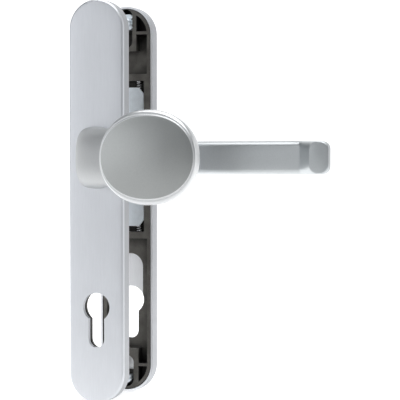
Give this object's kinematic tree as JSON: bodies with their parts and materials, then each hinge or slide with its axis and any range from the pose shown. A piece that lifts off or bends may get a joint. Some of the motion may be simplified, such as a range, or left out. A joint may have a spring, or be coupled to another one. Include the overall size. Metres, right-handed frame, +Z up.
{
  "type": "door handle set",
  "caption": "Long-plate door handle set for a narrow-stile door: fixed cranked oval knob outside, sprung lever handle inside, euro-profile cylinder holes below.",
  "frame": {"origin": "on the spindle axis, in the plane where the outside plate bears on the door", "axes": "+X across the plates towards the lever's end, +Y through the door from outside to inside, +Z up"},
  "size_m": [0.142, 0.1625, 0.248],
  "materials": {
    "satin_aluminium": "satin, natural anodised",
    "cast_zinc": "as cast, dark grey",
    "zinc_plate": "bright zinc plated",
    "bright_steel": "bright",
    "bearing_nylon": "matte"
  },
  "bodies": {
    "plates": {"outer_plate": "satin_aluminium", "outer_support_plate": "cast_zinc", "threaded_posts": "zinc_plate", "knob_neck": "satin_aluminium", "knob_head": "satin_aluminium", "knob_stud": "bright_steel", "knob_screws": "zinc_plate", "inner_cover": "satin_aluminium", "inner_frame": "cast_zinc", "spring_plate": "zinc_plate", "spring_plate_screws": "bright_steel", "guide_bush": "bearing_nylon", "through_screws": "zinc_plate", "serrated_sleeve": "zinc_plate", "upper_left_spring": "bright_steel", "upper_right_spring": "bright_steel", "lower_left_spring": "bright_steel", "lower_right_spring": "bright_steel"},
    "lever_set": {"lever": "satin_aluminium", "spindle": "bright_steel", "toothed_hub": "zinc_plate", "retaining_ring": "bright_steel", "grub_screw": "bright_steel"},
    "right_slide_bar": {"right_slide": "zinc_plate"},
    "left_slide_bar": {"left_slide": "zinc_plate"}
  },
  "joints": [
    {"name": "lever_turn", "type": "hinge", "parent": "plates", "child": "lever_set", "pos_m": [0, 0.05, 0], "axis": [0, 1, 0], "range_deg": [0, 45], "stiffness_Nm_per_rad": 0.9, "springref_deg": -20.05},
    {"name": "right_slide_travel", "type": "slide", "parent": "plates", "child": "right_slide_bar", "axis": [0, 0, 1], "range_m": [-0.0063, 0], "deforming": ["upper_right_spring", "lower_right_spring"]},
    {"name": "left_slide_travel", "type": "slide", "parent": "plates", "child": "left_slide_bar", "axis": [0, 0, 1], "range_m": [0, 0.0063], "deforming": ["upper_left_spring", "lower_left_spring"]}
  ],
  "couplings": [
    {"joint": "right_slide_travel", "follows": "lever_turn", "m_per_rad": -0.008},
    {"joint": "left_slide_travel", "follows": "lever_turn", "m_per_rad": 0.008}
  ]
}
